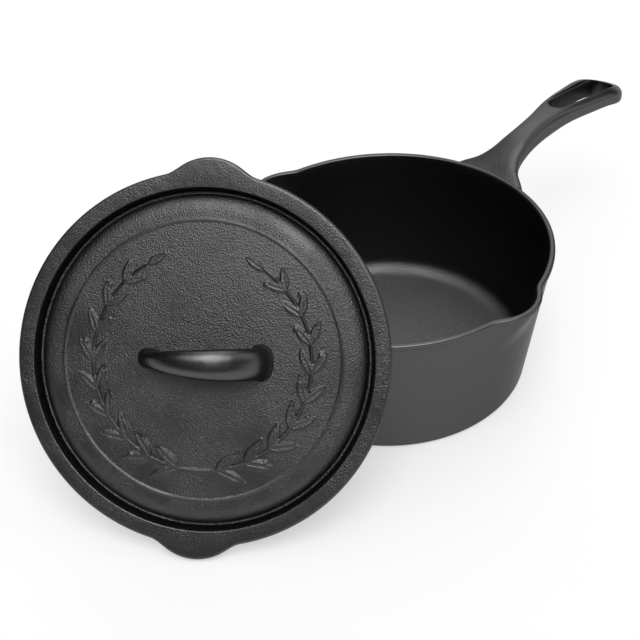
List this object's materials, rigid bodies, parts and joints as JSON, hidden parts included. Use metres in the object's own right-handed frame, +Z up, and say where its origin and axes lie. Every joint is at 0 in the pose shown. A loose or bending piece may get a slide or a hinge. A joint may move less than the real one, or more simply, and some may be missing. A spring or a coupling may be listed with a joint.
{
  "type": "cast iron casserole",
  "caption": "Deep cast iron camp pan with a long hang-up handle and pouring spouts, its bow-handled lid taken off and leaning against the rim.",
  "frame": {"origin": "centre of the pan's base, on the floor", "axes": "+X along the handle, away from the pan; the spouts at +Y and -Y; +Z up"},
  "size_m": [0.4893, 0.2194, 0.1811],
  "materials": {
    "pot_iron": "seasoned sand casting, satin black with fine grain",
    "lid_iron": "seasoned sand casting, satin dark grey with fine grain"
  },
  "bodies": {
    "pot": {"pot": "pot_iron"},
    "lid": {"lid": "lid_iron"}
  },
  "joints": [
    {"name": "lid_lift", "type": "slide", "parent": "pot", "child": "lid", "axis": [0, 0, 1], "range_m": [0, 0.2]}
  ]
}
